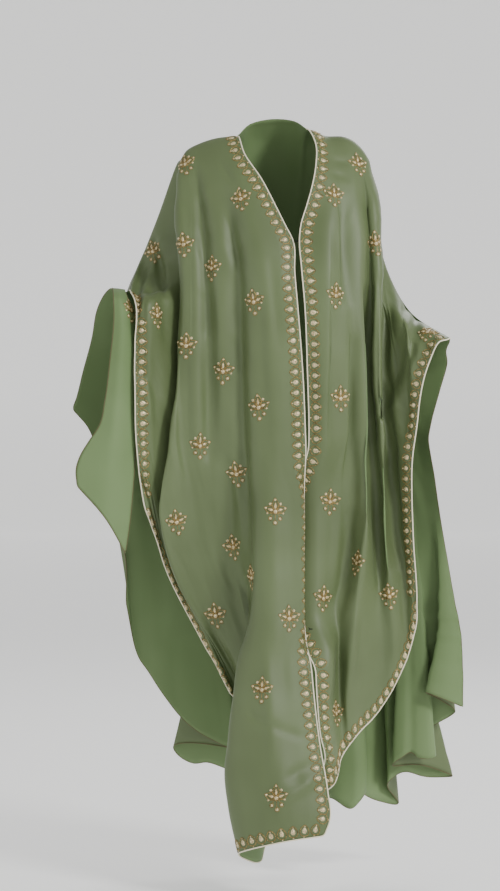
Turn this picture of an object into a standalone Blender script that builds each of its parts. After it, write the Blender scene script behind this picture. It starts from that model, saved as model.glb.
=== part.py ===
"""Open-front kaftan with wing sleeves, standing in the form it has when worn and walking.

Three cloth panels (right front, left front and a wider, longer back) meet along a seam
over the shoulders and arms. Each panel is lofted through its lines of fall: the named
lines that the cloth follows from the seam down to the hem. An ivory piping edges each
front, and two small hooks hold the fronts together.

Axes: +Z up, the front of the garment faces -Y, the wearer's left is +X. The origin is
between the two neck points, where the shoulders carry the garment.
"""
import bmesh
import bpy
import numpy as np

MM = 0.001
WALL = 2.0 * MM
SEAM_TRIM = 1.8 * MM
PIPING_RADIUS = 1.3 * MM
PIPING_GAP = 0.5 * MM
PIPING_SIDES = 4
CORNER_LEAN = 0.65
CORNER_RINGS = 5

# The x and z columns of the tables are an elevation, read in the upright plane through
# the shoulders from this far in front of it; each point is moved along the line of
# sight to its own depth y.
EYE = np.array([-62.0, -5500.0, -623.0]) * MM

# Rows of cloth from seam to hem, and strips of cloth between two lines of fall.
FRONT_ROWS = 25
FRONT_STRIPS = 3
BACK_ROWS = 22
LAPEL_ROWS = 12
LAPEL_REACH = 1.5

# Columns of every line of fall: x, z, y in millimetres, from the seam to the hem.
RIGHT_FRONT_LINES = {
    "front edge": (
        (-88, -4, 0), (-73, -42, -55), (-39, -92, -88), (-13, -142, -104),
        (7, -182, -116), (23, -214, -124), (26, -276, -140), (32, -344, -146),
        (42, -472, -136), (48, -612, -140), (52, -772, -150), (54, -982, -170),
        (62, -1092, -190), (77, -1222, -212), (92, -1312, -232), (97, -1372, -245),
        (86, -1403, -250)),
    "leg ridge": (
        (-106, -5, 2), (-90, -62, -62), (-68, -142, -103), (-46, -272, -146),
        (-34, -412, -150), (-26, -572, -146), (-20, -772, -160), (-18, -1012, -190),
        (-20, -1212, -232), (-14, -1332, -258), (0, -1416, -268)),
    "leg fold": (
        (-134, -9, 8), (-122, -72, -52), (-104, -162, -92), (-92, -272, -122),
        (-84, -412, -124), (-76, -572, -122), (-72, -732, -128), (-72, -872, -142),
        (-76, -986, -158), (-90, -1064, -172), (-104, -1202, -190),
        (-113, -1282, -200), (-106, -1342, -208), (-84, -1437, -215)),
    "behind the leg": (
        (-164, -19, 12), (-152, -92, -48), (-142, -212, -92), (-138, -332, -110),
        (-134, -492, -108), (-126, -652, -100), (-108, -812, -92), (-74, -942, -90),
        (-60, -1032, -96), (-56, -1132, -104), (-48, -1292, -116), (-36, -1446, -126)),
    "chest side": (
        (-188, -32, 12), (-182, -112, -44), (-180, -232, -84), (-180, -352, -100),
        (-182, -492, -104), (-182, -632, -98), (-170, -772, -88), (-144, -912, -74),
        (-112, -1022, -62), (-72, -1122, -44), (-40, -1290, -28)),
    "drape ridge": (
        (-200, -50, 11), (-206, -142, -38), (-200, -204, -60), (-196, -332, -82),
        (-206, -424, -94), (-210, -532, -102), (-220, -602, -105), (-236, -690, -107),
        (-243, -752, -104), (-224, -842, -90), (-184, -936, -72), (-140, -1018, -58),
        (-98, -1120, -50)),
    "arm valley": (
        (-212, -68, 15), (-200, -132, -8), (-190, -204, -22), (-184, -312, -38),
        (-190, -412, -48), (-193, -532, -54), (-201, -612, -57), (-215, -692, -59),
        (-226, -760, -60), (-214, -850, -55), (-192, -920, -50), (-164, -1002, -46)),
    "sleeve drape": (
        (-246, -164, 30), (-246, -222, 8), (-248, -282, -12), (-250, -312, -44),
        (-252, -318, -88), (-252, -332, -114), (-252, -362, -122), (-252, -432, -118),
        (-252, -532, -106), (-256, -632, -92), (-256, -702, -79), (-248, -772, -69),
        (-236, -830, -61), (-221, -892, -54)),
    "outer sleeve": (
        (-282, -256, 30), (-280, -288, 4), (-280, -310, -42), (-279, -317, -92),
        (-277, -332, -122), (-276, -372, -132), (-276, -432, -126), (-277, -532, -116),
        (-276, -632, -102), (-268, -702, -89), (-258, -760, -78), (-251, -806, -71)),
    "wing edge": (
        (-303, -312, -60), (-299, -318, -100), (-292, -331, -125), (-288, -348, -135),
        (-288, -372, -136), (-291, -414, -132), (-291, -532, -121), (-288, -632, -106),
        (-280, -702, -93), (-273, -742, -86)),
}

LEFT_FRONT_LINES = {
    "front edge": (
        (52, 10, 0), (71, -22, -42), (71, -62, -68), (64, -102, -88), (53, -142, -103),
        (41, -182, -116), (38, -212, -124), (42, -264, -138), (49, -344, -146),
        (54, -472, -136), (57, -612, -136), (50, -732, -138), (49, -852, -147),
        (52, -952, -158), (61, -996, -166), (67, -1032, -174), (73, -1132, -188),
        (79, -1202, -196), (88, -1248, -195), (76, -1288, -186), (62, -1320, -178)),
    "front slab": (
        (70, 4, 2), (90, -62, -60), (98, -142, -96), (100, -272, -136),
        (98, -412, -142), (94, -572, -140), (96, -752, -146), (100, -912, -156),
        (102, -1026, -166), (100, -1092, -172), (94, -1152, -178), (98, -1222, -184),
        (102, -1302, -182)),
    "front valley": (
        (90, -4, 6), (118, -82, -58), (134, -182, -92), (140, -332, -118),
        (138, -492, -120), (136, -632, -116), (134, -760, -108), (130, -876, -108),
        (118, -968, -116), (114, -1052, -124), (116, -1132, -132), (125, -1242, -146)),
    "side ridge": (
        (124, -5, 10), (146, -82, -48), (160, -182, -80), (166, -332, -104),
        (174, -492, -114), (178, -632, -120), (176, -760, -126), (164, -852, -132),
        (156, -922, -136), (144, -1042, -140), (138, -1112, -140), (145, -1212, -134)),
    "side valley": (
        (148, -16, 12), (164, -92, -36), (174, -192, -58), (178, -332, -74),
        (176, -514, -82), (184, -632, -84), (186, -732, -84), (188, -832, -86),
        (194, -932, -88), (196, -1032, -88), (190, -1160, -94)),
    "drape ridge": (
        (170, -42, 10), (180, -112, -26), (188, -176, -48), (194, -272, -70),
        (196, -392, -88), (198, -512, -98), (204, -612, -104), (207, -712, -106),
        (210, -812, -104), (220, -912, -100), (228, -1012, -90), (224, -1108, -82)),
    "arm valley": (
        (180, -74, 14), (186, -142, -2), (190, -212, -18), (192, -292, -30),
        (194, -412, -46), (202, -532, -58), (213, -632, -68), (228, -732, -78),
        (240, -832, -82), (247, -932, -84), (249, -1056, -78)),
    "upper sleeve": (
        (200, -232, 30), (206, -292, 4), (214, -352, -40), (220, -412, -62),
        (226, -512, -78), (232, -612, -86), (242, -732, -92), (252, -852, -94),
        (261, -932, -92), (265, -1002, -86)),
    "forearm": (
        (254, -350, 10), (252, -360, -50), (250, -384, -92), (248, -422, -106),
        (248, -492, -106), (248, -592, -105), (250, -692, -104), (256, -812, -101),
        (265, -910, -96), (271, -972, -91)),
    "wing edge": (
        (338, -408, -110), (331, -411, -124), (316, -415, -132), (306, -430, -135),
        (300, -444, -134), (286, -484, -130), (278, -522, -126), (271, -582, -122),
        (262, -652, -116), (261, -732, -110), (264, -812, -106), (270, -892, -101),
        (272, -938, -97)),
}

BACK_LINES = {
    "right wing edge": (
        (-338, -308, -60), (-354, -322, -25), (-368, -352, 0), (-378, -408, 18),
        (-396, -476, 24), (-410, -532, 20), (-416, -550, 18), (-406, -562, 24),
        (-386, -586, 36), (-370, -622, 44), (-350, -692, 50), (-330, -772, 54),
        (-312, -844, 56), (-310, -938, 60)),
    "right wrist": (
        (-320, -310, -66), (-324, -318, -25), (-330, -344, 5), (-338, -412, 30),
        (-346, -512, 45), (-348, -612, 55), (-338, -712, 60), (-318, -832, 66),
        (-304, -932, 70), (-288, -1038, 74)),
    "right cuff seam": (
        (-303, -312, -60), (-311, -320, -15), (-313, -348, 18), (-306, -422, 42),
        (-302, -532, 55), (-298, -672, 66), (-286, -812, 76), (-270, -952, 84),
        (-246, -1108, 88)),
    "right forearm": (
        (-282, -256, 30), (-286, -268, 62), (-280, -332, 78), (-272, -452, 84),
        (-262, -612, 90), (-248, -792, 96), (-226, -972, 102), (-194, -1170, 106)),
    "right upper arm": (
        (-246, -164, 30), (-242, -188, 66), (-234, -272, 92), (-222, -432, 102),
        (-206, -612, 108), (-186, -812, 114), (-158, -1012, 118), (-118, -1220, 120)),
    "right arm top": (
        (-212, -68, 15), (-206, -96, 62), (-194, -192, 98), (-178, -372, 112),
        (-162, -592, 120), (-142, -812, 130), (-114, -1012, 136), (-74, -1236, 140)),
    "right shoulder": (
        (-188, -32, 12), (-182, -58, 66), (-166, -152, 112), (-146, -332, 128),
        (-130, -572, 136), (-118, -812, 155), (-114, -1032, 180), (-110, -1264, 215)),
    "right shoulder blade": (
        (-134, -9, 8), (-126, -32, 66), (-106, -122, 122), (-86, -312, 140),
        (-70, -572, 146), (-62, -812, 168), (-58, -1052, 198), (-58, -1282, 232)),
    "right neck": (
        (-88, -4, 0), (-82, -28, 72), (-62, -122, 132), (-42, -312, 148),
        (-26, -572, 152), (-18, -812, 174), (-10, -1052, 206), (-6, -1296, 240)),
    "right nape": (
        (-62, 20, 55), (-58, 0, 88), (-40, -116, 136), (-24, -312, 151),
        (-10, -572, 155), (-2, -812, 177), (6, -1052, 208), (12, -1302, 243)),
    "centre back": (
        (-18, 30, 74), (-17, 2, 100), (-12, -112, 138), (-2, -312, 152),
        (6, -572, 156), (14, -812, 178), (22, -1052, 210), (32, -1304, 244)),
    "left nape": (
        (26, 26, 55), (24, 0, 88), (18, -114, 136), (22, -312, 151), (28, -572, 155),
        (36, -812, 176), (46, -1052, 206), (58, -1306, 240)),
    "left neck": (
        (52, 10, 0), (46, -16, 72), (38, -116, 132), (42, -312, 148), (50, -572, 152),
        (58, -812, 172), (70, -1052, 200), (86, -1300, 232)),
    "left shoulder blade": (
        (90, -4, 6), (90, -28, 68), (94, -116, 122), (102, -312, 140),
        (110, -572, 144), (122, -812, 158), (138, -1052, 178), (154, -1282, 195)),
    "left shoulder": (
        (148, -16, 12), (146, -44, 64), (146, -132, 104), (154, -312, 120),
        (166, -572, 124), (182, -812, 132), (202, -1052, 144), (222, -1262, 152)),
    "left arm top": (
        (180, -74, 14), (180, -100, 56), (186, -182, 84), (198, -352, 96),
        (210, -572, 100), (226, -812, 104), (246, -1032, 110), (266, -1232, 114)),
    "left upper arm": (
        (200, -232, 30), (204, -256, 58), (214, -332, 70), (230, -492, 76),
        (246, -672, 80), (266, -872, 84), (286, -1032, 88), (302, -1180, 90)),
    "left forearm": (
        (254, -350, 10), (254, -368, 36), (258, -422, 50), (266, -552, 56),
        (282, -692, 60), (302, -852, 62), (322, -992, 64), (338, -1142, 64)),
    "left wing edge": (
        (338, -408, -110), (336, -418, -60), (330, -436, -20), (332, -458, 5),
        (318, -512, 22), (298, -582, 30), (294, -606, 32), (298, -640, 34),
        (308, -696, 36), (320, -778, 40), (334, -858, 44), (348, -938, 46),
        (360, -1000, 48), (363, -1052, 50), (364, -1146, 52)),
}

# Places of the back's lines of fall across the panel; the two napes stand halfway.
BACK_PLACES = (0, 1, 2, 3, 4, 5, 6, 7, 8, 8.5, 9, 9.5, 10, 11, 12, 13, 14, 15, 16)

# The back hem swings into zigzag folds. Columns: place across the panel, then x, z, y
# in millimetres.
BACK_HEM = (
    (0.0, -310, -938, 60), (1.0, -290, -1034, 74), (2.0, -262, -1080, 88),
    (2.5, -236, -1120, 94), (3.0, -202, -1164, 104), (3.5, -168, -1194, 110),
    (4.0, -136, -1212, 118), (4.5, -112, -1224, 124), (4.9, -80, -1236, 136),
    (5.15, -100, -1228, 156), (5.35, -170, -1218, 170), (5.55, -214, -1222, 184),
    (5.75, -206, -1242, 200), (6.0, -174, -1259, 212), (6.2, -150, -1256, 220),
    (6.5, -112, -1268, 226), (7.0, -58, -1285, 234), (8.0, -6, -1300, 242),
    (9.0, 32, -1310, 246), (10.0, 84, -1312, 222), (10.5, 92, -1326, 150),
    (10.8, 84, -1330, 80), (11.0, 102, -1328, 42), (11.25, 138, -1350, 25),
    (11.45, 156, -1336, 32), (11.65, 170, -1316, 58), (11.85, 168, -1322, 96),
    (12.05, 196, -1334, 132), (12.25, 236, -1338, 160), (12.38, 214, -1308, 126),
    (12.48, 216, -1294, 108), (12.6, 242, -1276, 118), (12.8, 292, -1286, 138),
    (12.95, 340, -1285, 156), (13.05, 341, -1282, 142), (13.2, 282, -1262, 108),
    (13.4, 222, -1264, 80), (13.6, 242, -1246, 66), (13.8, 260, -1236, 66), (14.0, 276, -1248, 60), (14.25, 307, -1246, 62),
    (14.35, 309, -1240, 74), (14.5, 288, -1214, 88), (14.65, 284, -1202, 100),
    (14.9, 306, -1182, 106),
    (15.12, 344, -1160, 96), (15.24, 348, -1152, 82), (15.45, 312, -1128, 66),
    (15.6, 291, -1118, 56), (15.7, 289, -1116, 42), (15.85, 326, -1130, 38),
    (16.0, 364, -1146, 52),
)
# Where the back meets each front's seam. Columns: a place across the back and the line
# of the front that starts at the same point, counted from 0.
RIGHT_SEAM = ((2, 9), (3, 8), (4, 7), (5, 6), (6, 4), (7, 2), (8, 0))
LEFT_SEAM = ((10, 0), (11, 2), (12, 4), (13, 6), (14, 7), (15, 8), (16, 9))
SEAM_EASE_ROWS = 5
HEM_FOLD_START = 0.52
HEM_FOLD_POWER = 1.5
BACK_STRIPS = 1.6
CUFF_STRIPS = 8

# At the right wrist the back is wider than the front, and its corner is turned forward
# over the forearm as a lapel. Columns as for the lines of fall.
WRIST_LAPEL_LINES = {
    "outer edge": (
        (-338, -308, -60), (-336, -313, -104), (-335, -326, -130), (-334, -366, -138),
        (-342, -452, -134), (-352, -532, -130), (-362, -580, -127),
        (-384, -614, -124), (-402, -644, -121), (-410, -668, -119), (-408, -704, -117)),
    "middle": (
        (-325, -309, -64), (-322, -315, -104), (-318, -330, -130), (-314, -372, -140),
        (-317, -452, -138), (-322, -532, -135), (-330, -612, -132),
        (-344, -692, -128), (-352, -768, -125)),
    "inner edge": (
        (-311, -311, -63), (-310, -317, -92), (-304, -332, -106), (-293, -356, -112),
        (-287, -412, -108), (-287, -532, -98), (-289, -640, -92), (-293, -700, -92),
        (-300, -782, -98), (-309, -842, -104)),
}

# Columns: node, x, z, y of the middle of the fastener in millimetres.
HOOKS = (
    ("hook_upper", 30.5, -214.0, -128.6),
    ("hook_lower", 58.5, -990.0, -174.4),
)
HOOK_SIZE = (9 * MM, 2 * MM, 6 * MM)

SAGE = (0.205, 0.262, 0.133, 1.0)
IVORY = (0.792, 0.730, 0.552, 1.0)
DARK_METAL = (0.023, 0.023, 0.019, 1.0)


def placed(rows):
    """Table rows of x, z, y in millimetres as points in metres at their own depth."""
    x, z, y = (np.array(column, dtype=float) * MM for column in zip(*rows))
    spread = 1.0 + y / -EYE[1]
    return np.stack([EYE[0] + (x - EYE[0]) * spread, y,
                     EYE[2] + (z - EYE[2]) * spread], axis=-1)


def smooth_through(knots, points, samples):
    """A smooth curve through points at their knots, read at the samples."""
    knots = np.asarray(knots, dtype=float)
    steps = np.diff(knots)
    slopes = np.diff(points, axis=0) / steps.reshape((-1,) + (1,) * (points.ndim - 1))
    tangents = np.empty_like(points)
    tangents[0] = slopes[0]
    tangents[-1] = slopes[-1]
    for i in range(1, len(points) - 1):
        before, after = steps[i - 1], steps[i]
        tangents[i] = (slopes[i - 1] * after + slopes[i] * before) / (before + after)
    span = np.clip(np.searchsorted(knots, samples, side="right") - 1, 0, len(steps) - 1)
    width = steps[span]
    t = (np.asarray(samples) - knots[span]) / width
    shape = (-1,) + (1,) * (points.ndim - 1)
    t, width = t.reshape(shape), width.reshape(shape)
    return ((2 * t**3 - 3 * t**2 + 1) * points[span]
            + (t**3 - 2 * t**2 + t) * width * tangents[span]
            + (3 * t**2 - 2 * t**3) * points[span + 1]
            + (t**3 - t**2) * width * tangents[span + 1])


def line_of_fall(rows, count):
    """One line of fall as count + 1 points, level where it leaves the seam."""
    points = placed(rows)
    mirrored = points[1] * [0, 0, 1] + (2 * points[0] - points[1]) * [1, 1, 0]
    points = np.vstack([mirrored, points])
    knots = np.concatenate([[0], np.cumsum(np.linalg.norm(np.diff(points, axis=0), axis=1))])
    fine = smooth_through(knots, points, np.linspace(knots[1], knots[-1], 400))
    run = np.concatenate([[0], np.cumsum(np.linalg.norm(np.diff(fine, axis=0), axis=1))])
    wanted = np.linspace(0, run[-1], count + 1)
    return np.stack([np.interp(wanted, run, fine[:, axis]) for axis in range(3)], axis=-1)


def loft(lines, places, rows, columns):
    """A grid of points, [column, row], through the lines of fall at their places."""
    falls = np.array([line_of_fall(line, rows) for line in lines.values()])
    return smooth_through(places, falls, columns)


def trim_at_seam(grid, first, last):
    """Draw the top of a panel back from the seam, squarely to it, between two columns."""
    along = np.gradient(grid[:, 0], axis=0)
    along /= np.linalg.norm(along, axis=1)[:, None]
    into = grid[:, 2] - grid[:, 0]
    into -= along * np.sum(into * along, axis=1)[:, None]
    into /= np.linalg.norm(into, axis=1)[:, None]
    grid[first:last, 0] += SEAM_TRIM * into[first:last]


def front_grid(lines):
    last = len(lines) - 1
    columns = np.linspace(0, last, FRONT_STRIPS * last + 1)
    grid = loft(lines, np.arange(len(lines)), FRONT_ROWS, columns)
    trim_at_seam(grid, 0, len(columns))
    return grid


def back_columns():
    """Places of the back's columns: the right front's own as far as the neck, then the
    places of the hem folds."""
    back_lines, front_lines = zip(*RIGHT_SEAM)
    shared = np.arange(front_lines[0] * FRONT_STRIPS + 1) / FRONT_STRIPS
    columns = list(np.linspace(0, back_lines[0], CUFF_STRIPS, endpoint=False))
    columns += list(np.interp(shared, front_lines[::-1], back_lines[::-1])[::-1])
    places = [row[0] for row in BACK_HEM if row[0] >= back_lines[-1]]
    for before, after in zip(places, places[1:]):
        strips = max(1, round((after - before) * BACK_STRIPS))
        columns += list(np.linspace(before, after, strips + 1)[1:])
    return np.array(columns)


def meet_seam(grid, columns, seam, lines):
    """Bring the top of the back to the curve that a front's top follows."""
    tops = placed([line[0] for line in lines.values()])
    back_lines, front_lines = zip(*seam)
    joined = np.flatnonzero((columns >= back_lines[0]) & (columns <= back_lines[-1]))
    places = np.interp(columns[joined], back_lines, front_lines)
    shift = smooth_through(np.arange(len(tops)), tops, places) - grid[joined, 0]
    for row in range(SEAM_EASE_ROWS):
        grid[joined, row] += shift * (1 - row / SEAM_EASE_ROWS)
    return joined


def back_grid():
    columns = back_columns()
    grid = loft(BACK_LINES, BACK_PLACES, BACK_ROWS, columns)
    for seam, lines in ((RIGHT_SEAM, RIGHT_FRONT_LINES), (LEFT_SEAM, LEFT_FRONT_LINES)):
        joined = meet_seam(grid, columns, seam, lines)
        trim_at_seam(grid, joined[0], joined[-1] + 1)
    hem_places = [row[0] for row in BACK_HEM]
    hem = smooth_through(hem_places, placed([row[1:] for row in BACK_HEM]), columns)
    down = np.linspace(0, 1, BACK_ROWS + 1)
    share = np.clip((down - HEM_FOLD_START) / (1 - HEM_FOLD_START), 0, 1) ** HEM_FOLD_POWER
    return grid + share[None, :, None] * (hem - grid[:, -1])[:, None, :]


def grid_faces(across, down, first=0):
    """Quads of a grid whose points are numbered column by column."""
    faces = []
    for i in range(across - 1):
        for j in range(down - 1):
            corner = first + i * down + j
            faces.append((corner, corner + 1, corner + down + 1, corner + down))
    return faces


def new_object(name, points, faces, collection, material):
    mesh = bpy.data.meshes.new(name)
    mesh.from_pydata([tuple(point) for point in points], [], faces)
    mesh.materials.append(material)
    obj = bpy.data.objects.new(name, mesh)
    collection.objects.link(obj)
    return obj


def cloth(name, points, faces, collection, material):
    """One panel: an open surface of cloth given its wall."""
    obj = new_object(name, points, faces, collection, material)
    wall = obj.modifiers.new("wall", "SOLIDIFY")
    wall.thickness = WALL
    wall.offset = 0.0
    obj.data.shade_smooth()
    return obj


def front_panel(name, grid, collection, material):
    across, down = grid.shape[:2]
    faces = grid_faces(across, down)
    return cloth(name, grid.reshape(-1, 3), faces, collection, material)


def back_panel(collection, material):
    """The back with its wrist lapel, which shares the back's points over the forearm."""
    grid = back_grid()
    across, down = grid.shape[:2]
    points = list(grid.reshape(-1, 3))
    faces = grid_faces(across, down)
    columns = back_columns()
    lapel_columns = columns[columns <= LAPEL_REACH]
    last_line = len(WRIST_LAPEL_LINES) - 1
    places = lapel_columns * last_line / LAPEL_REACH
    lapel = loft(WRIST_LAPEL_LINES, np.arange(last_line + 1), LAPEL_ROWS, places)
    number = {}
    for i in range(len(lapel_columns)):
        number[i, 0] = i * down
        for j in range(1, LAPEL_ROWS + 1):
            number[i, j] = len(points)
            points.append(lapel[i, j])
    for i in range(len(lapel_columns) - 1):
        for j in range(LAPEL_ROWS):
            faces.append((number[i, j], number[i + 1, j],
                          number[i + 1, j + 1], number[i, j + 1]))
    return cloth("back", points, faces, collection, material)


def unit(vectors):
    return vectors / np.linalg.norm(vectors, axis=-1, keepdims=True)


def edge_run(grid, panel):
    """Rings along a front's free edge from neck to wrist: place, way out, way it faces."""
    facing = np.array([vertex.normal for vertex in panel.data.vertices]).reshape(grid.shape)
    edge, face = (np.vstack([layer[0], layer[1:, -1], layer[-1, -2::-1]])
                  for layer in (grid, facing))
    outward = unit(np.cross(face[1:] + face[:-1], np.diff(edge, axis=0)))
    if np.dot(outward[0], grid[0, 0] - grid[1, 0]) < 0:
        outward = -outward
    before = np.vstack([outward[:1], outward])
    after = np.vstack([outward, outward[-1:]])
    ahead = unit(np.diff(edge, axis=0, append=2 * edge[-1:] - edge[-2:-1]))
    rings = []
    for i in range(len(edge)):
        corner = np.dot(ahead[i], before[i]) < -CORNER_LEAN
        for share in np.linspace(0, 1, CORNER_RINGS) if corner else (0.5,):
            out = unit(before[i] * (1 - share) + after[i] * share)
            rings.append((edge[i], out, unit(face[i] - out * np.dot(face[i], out))))
    return rings


def piping(name, grid, panel, collection, material):
    """A thin cord along the free edge, moved out from the panel's own points."""
    angles = np.arange(PIPING_SIDES) * 2 * np.pi / PIPING_SIDES
    rings = edge_run(grid, panel)
    points = []
    for place, out, face in rings:
        middle = place + out * (PIPING_RADIUS + PIPING_GAP)
        for angle in angles:
            points.append(middle + PIPING_RADIUS * (np.cos(angle) * out + np.sin(angle) * face))
    faces = [tuple(range(PIPING_SIDES))]
    for ring in range(len(rings) - 1):
        first = ring * PIPING_SIDES
        for side in range(PIPING_SIDES):
            after = (side + 1) % PIPING_SIDES
            faces.append((first + side, first + PIPING_SIDES + side,
                          first + PIPING_SIDES + after, first + after))
    last = (len(rings) - 1) * PIPING_SIDES
    faces.append(tuple(last + side for side in reversed(range(PIPING_SIDES))))
    obj = new_object(name, points, faces, collection, material)
    work = bmesh.new()
    work.from_mesh(obj.data)
    bmesh.ops.recalc_face_normals(work, faces=work.faces)
    work.to_mesh(obj.data)
    work.free()
    return obj


def hook(name, x, z, y, collection, material):
    """A small flat hook and eye, closed, lying on the two pipings."""
    bpy.ops.mesh.primitive_cube_add(size=1.0, location=placed([(x, z, y)])[0])
    obj = bpy.context.object
    obj.name = name
    obj.scale = HOOK_SIZE
    bpy.ops.object.transform_apply(location=False, rotation=False, scale=True)
    rounding = obj.modifiers.new("rounding", "BEVEL")
    rounding.width = 0.6 * MM
    rounding.segments = 1
    obj.data.materials.append(material)
    for other in list(obj.users_collection):
        other.objects.unlink(obj)
    collection.objects.link(obj)
    return obj


def finish(name, colour, roughness, metallic=0.0):
    material = bpy.data.materials.new(name)
    material.use_nodes = True
    shader = material.node_tree.nodes["Principled BSDF"]
    shader.inputs["Base Color"].default_value = colour
    shader.inputs["Roughness"].default_value = roughness
    shader.inputs["Metallic"].default_value = metallic
    return material


def main():
    for obj in list(bpy.data.objects):
        bpy.data.objects.remove(obj, do_unlink=True)
    parts = bpy.data.collections.new("kaftan")
    bpy.context.scene.collection.children.link(parts)
    right = front_grid(RIGHT_FRONT_LINES)
    left = front_grid(LEFT_FRONT_LINES)
    for side, grid in (("right", right), ("left", left)):
        crepe = finish("sage crepe " + side, SAGE, 0.55)
        panel = front_panel("front_" + side, grid, parts, crepe)
        cord = finish("ivory piping " + side, IVORY, 0.6)
        piping("piping_" + side, grid, panel, parts, cord)
    back_panel(parts, finish("sage crepe back", SAGE, 0.6))
    for name, x, z, y in HOOKS:
        hook(name, x, z, y, parts, finish(name + " metal", DARK_METAL, 0.4, 1.0))


main()
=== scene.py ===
"""Looks of an open-front kaftan with wing sleeves, in sage satin crepe with gold work.

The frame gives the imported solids. Each cloth panel is drawn again here as a thin shell on
the same lines of fall, with the small folds and creases, and the sewn and embroidered
work lies on the shells.
"""

import bpy
import numpy as np
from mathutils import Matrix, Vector


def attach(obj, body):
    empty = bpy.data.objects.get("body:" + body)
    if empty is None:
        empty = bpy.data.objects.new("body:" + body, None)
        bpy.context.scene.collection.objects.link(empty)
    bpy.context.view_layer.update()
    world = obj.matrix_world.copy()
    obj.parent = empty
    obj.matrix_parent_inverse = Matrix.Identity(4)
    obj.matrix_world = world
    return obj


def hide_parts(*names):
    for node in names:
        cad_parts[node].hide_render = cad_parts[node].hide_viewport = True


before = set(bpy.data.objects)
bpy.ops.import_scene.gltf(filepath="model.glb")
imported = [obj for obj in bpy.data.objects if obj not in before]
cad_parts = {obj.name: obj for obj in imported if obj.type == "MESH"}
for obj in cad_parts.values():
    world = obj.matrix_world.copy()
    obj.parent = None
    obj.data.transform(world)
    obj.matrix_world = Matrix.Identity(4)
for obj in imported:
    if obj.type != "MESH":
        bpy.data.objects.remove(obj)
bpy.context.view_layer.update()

MM = 0.001


# Backdrop, lights and camera
# A white paper sweep stands round the garment, lit by a large soft key lamp, a low fill
# and a lamp behind. The camera is level and square to the front, at the photo's distance.
def linear(hex_colour):
    """A colour written as sRGB hex, as the linear values a shader takes."""
    channels = [int(hex_colour[i:i + 2], 16) / 255 for i in (1, 3, 5)]
    return [c / 12.92 if c <= 0.04045 else ((c + 0.055) / 1.055) ** 2.4
            for c in channels] + [1.0]


def add_node(material, kind, **settings):
    """One shader node with its properties and its sockets' values set by name."""
    node = material.node_tree.nodes.new(kind)
    for key, value in settings.items():
        if hasattr(node, key):
            setattr(node, key, value)
        else:
            node.inputs[key.replace("_", " ")].default_value = value
    return node


def principled(name, colour, roughness, metallic=0.0):
    material = bpy.data.materials.new(name)
    material.use_nodes = True
    shader = material.node_tree.nodes["Principled BSDF"]
    shader.inputs["Base Color"].default_value = linear(colour)
    shader.inputs["Roughness"].default_value = roughness
    shader.inputs["Metallic"].default_value = metallic
    return material, shader


def mesh_object(name, points, faces, *materials):
    mesh = bpy.data.meshes.new(name)
    mesh.from_pydata(np.asarray(points).tolist(), [], faces)
    for material in materials:
        mesh.materials.append(material)
    mesh.shade_smooth()
    obj = bpy.data.objects.new(name, mesh)
    bpy.context.scene.collection.objects.link(obj)
    return obj


def around(count):
    """Pairs of neighbours round a closed line of points."""
    return [(i, (i + 1) % count) for i in range(count)]


def ring_faces(rings, sides):
    """Quads between closed rings of points that follow one another, and the first's own."""
    return [tuple(range(sides))] + [
        (i * sides + j, (i + 1) * sides + j, (i + 1) * sides + k, i * sides + k)
        for i in range(rings - 1) for j, k in around(sides)]


FLOOR_Z = -1.50
FLOOR_RADIUS = 22.0
SWEEP_RADIUS = 1.5
WALL_TOP = 12.0
SWEEP_SIDES = 64
MIDDLE_RADIUS = 0.5
sweep_profile = [(MIDDLE_RADIUS, FLOOR_Z), (FLOOR_RADIUS, FLOOR_Z)]
for angle in np.radians(np.arange(6, 91, 6)):
    sweep_profile.append((FLOOR_RADIUS + SWEEP_RADIUS * np.sin(angle),
                          FLOOR_Z + SWEEP_RADIUS * (1 - np.cos(angle))))
sweep_profile.append((FLOOR_RADIUS + SWEEP_RADIUS, WALL_TOP))
turns = np.arange(SWEEP_SIDES) * 2 * np.pi / SWEEP_SIDES
sweep_points = [(r * np.cos(turn), r * np.sin(turn), z)
                for r, z in sweep_profile for turn in turns]
sweep_faces = ring_faces(len(sweep_profile), SWEEP_SIDES)
# White paper: matt, and glowing a little, so that it stays pale.
paper, paper_shader = principled("white paper", "#DADAD8", 0.9)
paper_shader.inputs["Emission Color"].default_value = (1, 1, 1, 1)
paper_shader.inputs["Emission Strength"].default_value = 0.5
mesh_object("paper_sweep", sweep_points, sweep_faces, paper)


def area_lamp(name, place, target, size, watts):
    lamp = bpy.data.lights.new(name, "AREA")
    lamp.size = size
    lamp.energy = watts
    obj = bpy.data.objects.new(name, lamp)
    obj.location = place
    obj.visible_camera = False
    obj.rotation_euler = (Vector(target) - Vector(place)).to_track_quat("-Z", "Y").to_euler()
    bpy.context.scene.collection.objects.link(obj)


area_lamp("key lamp", (3.0, -3.3, 1.9), (0, 0, -0.7), 1.0, 190)
area_lamp("fill lamp", (-3.4, -2.4, 0.6), (0, 0, -0.7), 1.8, 14)
area_lamp("back lamp", (1.6, 3.6, 2.4), (0, 0, -0.5), 1.6, 80)

world = bpy.context.scene.world or bpy.data.worlds.new("studio")
bpy.context.scene.world = world
world.use_nodes = True
world.node_tree.nodes["Background"].inputs["Color"].default_value = (1, 1, 1, 1)
world.node_tree.nodes["Background"].inputs["Strength"].default_value = 0.45

# The eye stands here, in metres, and looks level along +Y.
EYE = np.array([-0.062, -5.5, -0.623])
lens = bpy.data.cameras.new("camera")
lens.sensor_fit = "HORIZONTAL"
lens.sensor_width = 36
lens.lens = 198
camera = bpy.data.objects.new("camera", lens)
camera.location = EYE
camera.rotation_euler = (np.radians(90), 0, 0)
bpy.context.scene.collection.objects.link(camera)
bpy.context.scene.camera = camera


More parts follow.
